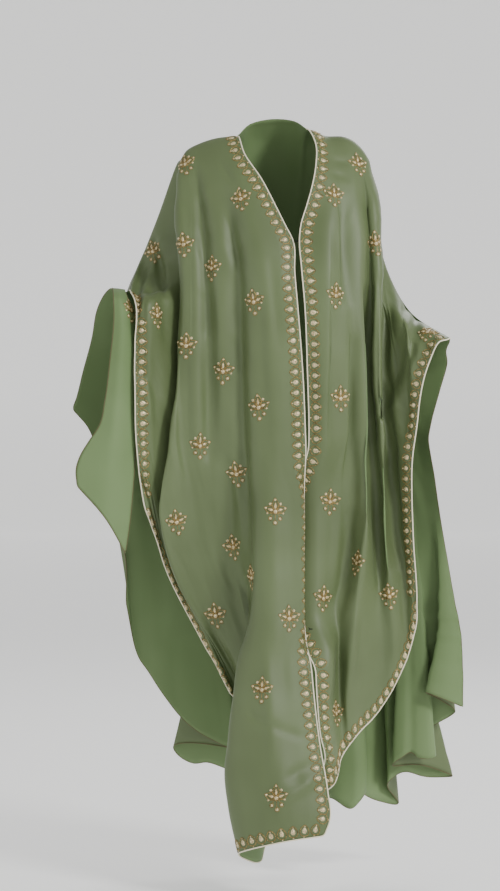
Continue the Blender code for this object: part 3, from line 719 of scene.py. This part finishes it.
# The lapel shares the back's top row and goes on from it as its own sheet.
points = list(back.reshape(-1, 3))
faces = grid_faces(*back.shape[:2], flip=back_outward > 0)
lapel_columns = np.flatnonzero(columns <= LAPEL_REACH)
lapel_places = columns[lapel_columns] * (len(WRIST_LAPEL_LINES) - 1) / LAPEL_REACH
lapel = loft(WRIST_LAPEL_LINES, np.arange(len(WRIST_LAPEL_LINES)), LAPEL_ROWS, lapel_places)
number = {(i, 0): i * back.shape[1] for i in range(len(lapel_columns))}
for i in range(len(lapel_columns)):
    for j in range(1, LAPEL_ROWS + 1):
        number[i, j] = len(points)
        points.append(lapel[i, j])
for i in range(len(lapel_columns) - 1):
    for j in range(LAPEL_ROWS):
        face = (number[i, j], number[i + 1, j], number[i + 1, j + 1], number[i, j + 1])
        faces.append(face[::-1] if back_outward > 0 else face)
# The turned corner shows the crepe side of the cloth, and the satin face inside it.
back_mesh = mesh_object("back_panel", points, faces, satin_face, crepe_side, satin_face)
first_turned = len(faces) - (len(lapel_columns) - 1) * LAPEL_ROWS
for face in back_mesh.data.polygons[first_turned:]:
    face.material_index = 1
back_shell = shell(back_mesh)
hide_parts("back")
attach(back_shell, "root")


# Pipings
# A cord of twisted ivory thread, sewn along each front's free edge, neck to wrist.
def tube(name, path, sides, radius, material, across_way=(0.3, 0.5, 0.81)):
    """A round cord along a path that nowhere runs along across_way; closed at both ends."""
    along = unit(np.gradient(path, axis=0))
    first = unit(np.cross(along, across_way))
    second = np.cross(along, first)
    angles = np.arange(sides) * 2 * np.pi / sides
    ring = (np.cos(angles)[None, :, None] * first[:, None]
            + np.sin(angles)[None, :, None] * second[:, None])
    points = (path[:, None] + radius * ring).reshape(-1, 3)
    faces = ring_faces(len(path), sides)
    faces.append(tuple((len(path) - 1) * sides + j for j in reversed(range(sides))))
    return mesh_object(name, points, faces, material)


PIPING_RADIUS = 1.3 * MM
PIPING_LIFT = 1.2 * MM

# Ivory thread, matt.
ivory, _ = principled("ivory piping thread", "#E6DEC4", 0.6)


def edge_of(grid, outward):
    """The free edge from neck to wrist, its way out and the way it faces."""
    face = normals_of(grid, outward)
    out = np.empty_like(grid)
    out[0] = grid[0] - grid[2]
    out[-1] = grid[-1] - grid[-3]
    out[1:-1, -1] = grid[1:-1, -1] - grid[1:-1, -3]
    return [np.vstack([layer[0], layer[1:, -1], layer[-1, -2::-1]])
            for layer in (grid, unit(out), face)]


def even(path, step):
    """A path read again at even steps, in metres, with its sharp corners eased."""
    run = run_along(path)
    wanted = np.linspace(0, run[-1], int(run[-1] / step) + 1)
    read = np.stack([np.interp(wanted, run, path[:, axis]) for axis in range(3)], axis=-1)
    read[1:-1] = (read[:-2] + 2 * read[1:-1] + read[2:]) / 4
    return read


for name, grid, outward in (("right", right_grid, 1), ("left", left_grid, -1)):
    edge, out, face = edge_of(grid, outward)
    path = even(edge + out * PIPING_LIFT, 4 * MM)
    cord = tube(name + "_piping", path, 8, PIPING_RADIUS, ivory)
    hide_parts("piping_" + name)
    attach(cord, "root")


# Rolled hem, with painted shade
# The back's wings and hem are rolled and whipped with a dark green-brown thread, and the
# roll's dark colour is also painted shade along the turned edge.
ROLL_RADIUS = 0.9 * MM
# Dark green-brown: partly the thread's own colour, partly painted shade along the turned edge.
hem_thread_and_painted_shade, _ = principled("rolled hem thread and painted edge shade", "#5C5636", 0.65)
rolls = (("hem_roll_and_painted_shade", np.vstack([back[0, 1:], back[1:, -1], back[-1, -2:0:-1]])),
         ("lapel_roll_and_painted_shade", np.vstack([lapel[0, 1:], lapel[1:, -1], lapel[-1, -2:3:-1]])))
for name, path in rolls:
    roll = tube(name, even(path, 5 * MM), 6, ROLL_RADIUS, hem_thread_and_painted_shade)
    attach(roll, "root")


# Border
# Machine embroidery in gold thread along both fronts' free edges: a row of mango rings,
# each with a pale leaf in it and a dot on a short stem toward the piping.
def ring(outline, width, rise):
    """A raised line of thread along a closed outline of (a, b) points."""
    outline = np.asarray(outline, float)
    along = unit(np.roll(outline, -1, 0) - np.roll(outline, 1, 0))
    side = np.stack([along[:, 1], -along[:, 0]], axis=1)
    rows = [(outline + side * width * share, lift)
            for share, lift in ((-0.5, 0.0), (-0.2, rise), (0.2, rise), (0.5, 0.0))]
    points = np.concatenate([np.c_[row, np.full(len(row), lift)] for row, lift in rows])
    count = len(outline)
    faces = [(r * count + i, r * count + j, (r + 1) * count + j, (r + 1) * count + i)
             for r in range(3) for i, j in around(count)]
    return points, faces


def pad(outline, rise):
    """A raised pad of thread that fills a closed outline."""
    outline = np.asarray(outline, float)
    middle = outline.mean(axis=0)
    inner = middle + (outline - middle) * 0.55
    count = len(outline)
    points = np.vstack([np.c_[outline, np.zeros(count)], np.c_[inner, np.full(count, rise)],
                        [[*middle, rise * 1.15]]])
    faces = [(i, j, count + j, count + i) for i, j in around(count)]
    faces += [(count + i, count + j, 2 * count) for i, j in around(count)]
    return points, faces


def drop(length, half, count, pointed=0.6):
    """A teardrop outline with its tip at +b."""
    t = np.linspace(-np.pi, np.pi, count, endpoint=False)
    a = np.sin(t) * np.cos(t / 2) ** pointed
    return np.stack([half * a / 0.82, -length / 2 * np.cos(t)], axis=1)


def disc(a, b, radius, count=8):
    t = np.arange(count) * 2 * np.pi / count
    return np.stack([a + radius * np.cos(t), b + radius * np.sin(t)], axis=1)


def leaf(a, b, angle, length, half, count=10):
    """A pointed leaf that starts at (a, b) and runs off at an angle from +b."""
    t = np.linspace(0, 1, count // 2 + 1)
    wide = half * np.sin(np.pi * t ** 0.8)
    line = np.r_[np.c_[wide, t * length], np.c_[-wide[-2:0:-1], t[-2:0:-1] * length]]
    c, s = np.cos(np.radians(angle)), np.sin(np.radians(angle))
    return np.stack([a + line[:, 0] * c + line[:, 1] * s,
                     b - line[:, 0] * s + line[:, 1] * c], axis=1)


def join(*parts):
    """Several (points, faces) shapes as one."""
    points, faces, first = [], [], 0
    for shape, its_faces in parts:
        points.append(shape)
        faces += [tuple(first + k for k in face) for face in its_faces]
        first += len(shape)
    return np.concatenate(points), faces


# One mango, in millimetres: a ring 21 long with a stem toward the piping; in pale silk,
# its leaf with a dot at the tip, and a dot on the stem.
MANGO_DEEP = join(ring(drop(21.0, 8.9, 22), 1.6, 0.9),
                  pad(leaf(0, -13.6, 0, 4.6, 0.8), 0.5))
MANGO_PALE = join(pad(drop(12.0, 4.4, 14), 1.3), pad(disc(0, 7.6, 1.5), 0.9),
                  pad(disc(0, -12.2, 1.5), 0.9))


class Cloth:
    """A panel's points, read and walked over between its columns and rows."""

    def __init__(self, grid, outward):
        self.grid, self.face = grid, normals_of(grid, outward)
        self.along = np.gradient(grid, axis=1)
        self.over = np.gradient(grid, axis=0)

    def read(self, table, c, r):
        """A table over the cloth, read at column c and row r, between its points too."""
        c = np.clip(c, 0, table.shape[0] - 1.001)
        r = np.clip(r, 0, table.shape[1] - 1.001)
        i, j = c.astype(int), r.astype(int)
        s, t = (c - i)[..., None], (r - j)[..., None]
        return ((table[i, j] * (1 - s) + table[i + 1, j] * s) * (1 - t)
                + (table[i, j + 1] * (1 - s) + table[i + 1, j + 1] * s) * t)

    def walk(self, c, r, a, b, steps=8):
        """Go a across and b down the fall, in metres, from a place on the cloth."""
        c, r = np.full(a.shape, float(c)), np.full(a.shape, float(r))
        for _ in range(steps):
            over, along = self.read(self.over, c, r), self.read(self.along, c, r)
            fall = np.linalg.norm(along, axis=-1)
            slant = np.sum(over * along, axis=-1) / fall
            width = np.sqrt(np.maximum(np.sum(over * over, axis=-1) - slant ** 2, 1e-10))
            move = a / steps / width
            c += move
            r += (b / steps - move * slant) / fall
        return c, r

    def lay(self, shape, c, r, turn, lift):
        """A flat shape's points, in millimetres, laid on the cloth round a place."""
        cos, sin = np.cos(turn), np.sin(turn)
        a = (shape[:, 0] * cos - shape[:, 1] * sin) * MM
        b = (shape[:, 0] * sin + shape[:, 1] * cos) * MM
        c, r = self.walk(c, r, a, b)
        away = (shape[:, 2] * MM + lift)[:, None]
        return self.read(self.grid, c, r) + self.read(self.face, c, r) * away


THREAD_LIFT = 0.25 * MM


def sew(name, cloth, shape, places, material):
    """The same shape laid at every place, as one piece of embroidery."""
    points, faces = shape
    many, many_faces = [], []
    for k, (c, r, turn) in enumerate(places):
        many.append(cloth.lay(points, c, r, turn, THREAD_LIFT))
        many_faces += [tuple(k * len(points) + i for i in face) for face in faces]
    obj = mesh_object(name, np.concatenate(many), many_faces, material)
    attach(obj, "root")


STITCH_SCALE = 600.0


def thread(name, light, dark, metallic, roughness):
    """Embroidery thread, laid in fine satin stitches that catch the light in turn."""
    material, shader = principled(name, light, roughness, metallic)
    stitch = noise(material, STITCH_SCALE, 2.0)
    two_tone(material, shader, stitch, dark, light, 0.35, 0.62)
    roughen(material, shader, stitch, 0.5, 0.0003)
    return material


# Old-gold metal thread of the rings, and the paler silk of the leaves.
gold_thread = thread("gold thread", "#A0884E", "#463618", 0.5, 0.4)
pale_thread = thread("pale gold silk", "#DED0A6", "#8C7648", 0.3, 0.42)

BORDER_PITCH = 20.5
BORDER_INSET = 14.5
# Clear lengths in pitches: at the neck, after a corner, and before the next edge.
NECK_CLEAR, CORNER_CLEAR, END_CLEAR = 0.6, 1.0, 0.7


def border_places(cloth):
    """Places and turns of the mangoes along the front edge, the hem and the wing edge."""
    columns, rows = cloth.grid.shape[0] - 1, cloth.grid.shape[1] - 1
    over, down = np.arange(columns + 1.0), np.arange(rows + 1.0)
    # Each edge: its points, its columns and rows, the way in, the turn and the clear start.
    edges = (
        (cloth.grid[0], 0 * down, down, (1, 0), -np.pi / 2, NECK_CLEAR),
        (cloth.grid[:, -1], over, 0 * over + rows, (0, -1), np.pi, CORNER_CLEAR),
        (cloth.grid[-1, ::-1], 0 * down + columns, down[::-1], (-1, 0), np.pi / 2,
         CORNER_CLEAR),
    )
    places = []
    for line, line_columns, line_rows, inward, turn, clear in edges:
        run = run_along(line) / MM
        for s in np.arange(BORDER_PITCH * clear, run[-1] - BORDER_PITCH * END_CLEAR,
                           BORDER_PITCH):
            c, r = np.interp(s, run, line_columns), np.interp(s, run, line_rows)
            a, b = (np.array([d * BORDER_INSET * MM]) for d in inward)
            c, r = cloth.walk(c, r, a, b)
            places.append((c[0], r[0], turn))
    return places


cloths = {"right": Cloth(right_grid, 1), "left": Cloth(left_grid, -1)}
for side, cloth in cloths.items():
    places = border_places(cloth)
    sew(side + "_border_rings", cloth, MANGO_DEEP, places, gold_thread)
    sew(side + "_border_leaves", cloth, MANGO_PALE, places, pale_thread)


# Star flowers
# Single star flowers in gold thread and pale silk, scattered over the outside: three
# leaf petals, four small round ones on stems, a raised middle and three drops.
def stem(a0, b0, a1, b1, width):
    start, end = np.array([a0, b0]), np.array([a1, b1])
    way = unit(end - start)
    side = np.array([way[1], -way[0]]) * width / 2
    return pad([start + side, end + side, end - side, start - side], 0.5)


def point_at(angle, length):
    """The point at an angle from +b and a distance."""
    return np.sin(np.radians(angle)) * length, np.cos(np.radians(angle)) * length


# Petals: angle from +b, length and half width in millimetres. In a shape, b runs down
# the fall, so an angle of 180 points up. Drops: a, b and radius.
LEAF_PETALS = ((180, 27, 6.4), (110, 24, 7.0), (-110, 24, 7.0))
ROUND_PETALS = ((146, 18, 4.0), (-146, 18, 4.0), (78, 16, 3.0), (-78, 16, 3.0))
DROPS = ((-9.5, 13.5, 3.4), (0.0, 22.0, 3.8), (9.5, 13.5, 3.4))

gold_parts = [ring(leaf(0, 0, angle, length, half, 18), 1.7, 0.9)
              for angle, length, half in LEAF_PETALS]
gold_parts += [ring(leaf(0, 0, angle, length * 0.7, half * 0.5, 14), 1.3, 1.1)
               for angle, length, half in LEAF_PETALS]
pale_parts = [pad(disc(*point_at(angle, length * 0.86), 2.7), 1.4)
              for angle, length, half in LEAF_PETALS]
pale_parts += [pad(leaf(*point_at(angle, 5), angle, length * 0.5, half * 0.42), 1.2)
               for angle, length, half in LEAF_PETALS]
for angle, length, half in ROUND_PETALS:
    tip = point_at(angle, length)
    gold_parts.append(stem(0, 0, *tip, 1.2))
    pale_parts.append(pad(disc(*tip, half * 0.7), 1.1))
for a, b, radius in DROPS:
    gold_parts.append(stem(a * 0.35, 4.0, a, b - radius, 1.1))
    gold_parts.append(ring(disc(a, b, radius + 0.6, 10), 1.1, 0.7))
    pale_parts.append(pad(disc(a, b, radius * 0.8), 1.0))
gold_parts.append(ring(disc(0, 0, 4.9, 14), 1.5, 1.1))
pale_parts.append(pad(disc(0, 0, 4.5, 12), 1.9))
FLOWER_GOLD, FLOWER_PALE = join(*gold_parts), join(*pale_parts)

# Where the flowers lie on the fronts. Columns: x and z of the middle in the elevation,
# in millimetres, and the lean of the flower in degrees.
FLOWERS = {
    "right": ((-200, -58, 6), (-88, -126, -4), (-264, -230, 14), (-202, -218, 4),
              (-146, -264, -6), (-62, -334, 3), (-240, -360, 8), (-190, -424, 0),
              (-118, -474, -5), (-48, -546, 4), (-222, -558, 6), (-156, -624, -3),
              (-96, -678, 5), (-8, -752, -2), (-208, -776, 8), (-102, -828, 0),
              (-66, -888, 4), (-136, -968, -6), (24, -966, 3), (-46, -1108, 0),
              (-12, -1322, -4)),
    "left": ((164, -58, -6), (114, -120, 4), (194, -212, -8), (118, -324, 0),
             (206, -362, -5), (292, -388, -12), (160, -402, 4), (128, -526, -3),
             (208, -538, 5), (157, -656, 0), (106, -738, 3), (200, -748, -4),
             (144, -854, 4), (210, -928, -3), (92, -926, 0), (118, -1158, -4)),
}
FOUND_WITHIN = 9.0
# How far a flower reaches, and how much the cloth under it may turn and spread.
FLOWER_REACH = 20 * MM
MOST_TURNED, MOST_SPREAD = -0.2, 1.3
# Of two layers of cloth the nearer one takes the flower. One that faces away counts as
# this much deeper, and a millimetre beside the place as this share of one in depth.
FACES_AWAY, BESIDE = 0.05, 0.2


def smooth_there(cloth, c, r):
    """True where the cloth under a whole flower faces much the same way."""
    t = np.linspace(0, 2 * np.pi, 12, endpoint=False)
    at = cloth.walk(c, r, FLOWER_REACH * np.cos(t), FLOWER_REACH * np.sin(t))
    spread = np.linalg.norm(cloth.read(cloth.grid, *at) - cloth.read(cloth.grid, c, r), axis=-1)
    turned = cloth.read(cloth.face, *at) @ cloth.read(cloth.face, c, r)
    return turned.min() > MOST_TURNED and spread.max() < MOST_SPREAD * FLOWER_REACH


def sew_flowers(name, cloth, places):
    sew(name + "_gold", cloth, FLOWER_GOLD, places, gold_thread)
    sew(name + "_pale", cloth, FLOWER_PALE, places, pale_thread)


for side, cloth in cloths.items():
    flat = elevation(cloth.grid)
    places = []
    for x, z, lean in FLOWERS[side]:
        off = np.linalg.norm(flat - [x, z], axis=-1)
        near = np.argwhere(off < FOUND_WITHIN)
        if not len(near):
            continue
        facing = cloth.face[near[:, 0], near[:, 1], 1]
        depth = cloth.grid[near[:, 0], near[:, 1], 1] + FACES_AWAY * (facing > 0)
        close = off[near[:, 0], near[:, 1]] * BESIDE * MM
        c, r = near[np.argmin(depth + close)]
        if smooth_there(cloth, c, r):
            places.append((float(c), float(r), np.radians(lean)))
    sew_flowers(side + "_flowers", cloth, places)

# The back carries the same flowers in staggered rows, and the lapel shows one. Rows start
# and end at these distances from the seam; a flower strays a little and leans a little.
FIRST_ROW, LAST_ROW, ROW_PITCH = 70, 1290, 118
FIRST_FLOWER, LAST_FLOWER, FLOWER_PITCH = 40, 30, 124
STRAY, LEAN = 12, 9
HEM_CLEAR = 34
FLOWER_PLACES = (0.3, 15.8)
FLOWERS_APART = 62 * MM
back_cloth = Cloth(back, back_outward)
scatter = np.random.default_rng(3)
places, spots = [], []
fall = reach(back, 1)
for n, level in enumerate(np.arange(FIRST_ROW, LAST_ROW, ROW_PITCH)):
    row = np.clip(np.array([np.searchsorted(fall[i], level) for i in range(len(fall))]),
                  0, BACK_ROWS)
    run = run_along(back[np.arange(len(back)), row]) / MM
    start = FIRST_FLOWER + (n % 2) * FLOWER_PITCH / 2
    for s in np.arange(start, run[-1] - LAST_FLOWER, FLOWER_PITCH):
        c = int(np.interp(s + scatter.uniform(-STRAY, STRAY), run, np.arange(len(run))))
        outside = not FLOWER_PLACES[0] <= columns[c] <= FLOWER_PLACES[1]
        if level > fall[c, -1] - HEM_CLEAR or outside:
            continue
        spot = back[c, row[c]]
        apart = [np.linalg.norm(spot - other) > FLOWERS_APART for other in spots]
        if smooth_there(back_cloth, c, row[c]) and all(apart):
            spots.append(spot)
            lean = np.radians(scatter.uniform(-LEAN, LEAN))
            places.append((float(c), float(row[c]), lean))
sew_flowers("back_flowers", back_cloth, places)

lapel_cloth = Cloth(lapel, -1 if normals_of(lapel, 1)[10, 30, 1] > 0 else 1)
# Its place, as shares across and down the lapel, and its turn.
LAPEL_FLOWER = (0.84, 0.15, 0.1)
places = [np.multiply(LAPEL_FLOWER, (len(lapel_columns), LAPEL_ROWS, 1))]
sew_flowers("lapel_flower", lapel_cloth, places)


# Hooks
# Two flat hooks bent from black lacquered wire, one at the foot of the neck and one at
# two thirds of the height, close the fronts. The eyes are hidden under them.
WIRE = 0.55 * MM
black_wire, _ = principled("black lacquered wire", "#2A2A26", 0.35, 1.0)
# Middle of each hook: x, z, y in millimetres, as in the solids.
HOOKS = (("hook_upper", 30.5, -214.0, -128.6), ("hook_lower", 58.5, -990.0, -174.4))
# The bent wire's course about the middle: x and z in millimetres.
HOOK_COURSE = ((-4.0, 1.6), (-2.6, 2.4), (-1.4, 1.4), (-1.8, 0.3), (0.6, 0.4), (2.8, 0.5),
               (4.1, 0.1), (3.4, -0.9), (1.6, -0.7), (-1.8, -0.5), (-1.4, -1.6),
               (-2.6, -2.4), (-4.0, -1.6))
for name, x, z, y in HOOKS:
    middle = placed([(x, z, y)])[0]
    path = np.array([[a * MM, 0, b * MM] for a, b in HOOK_COURSE]) + middle
    fine = smooth_through(np.arange(len(path)), path, np.linspace(0, len(path) - 1, 60))
    wire = tube(name + "_wire", fine, 8, WIRE, black_wire, across_way=[0, 1, 0])
    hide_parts(name)
    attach(wire, "root")
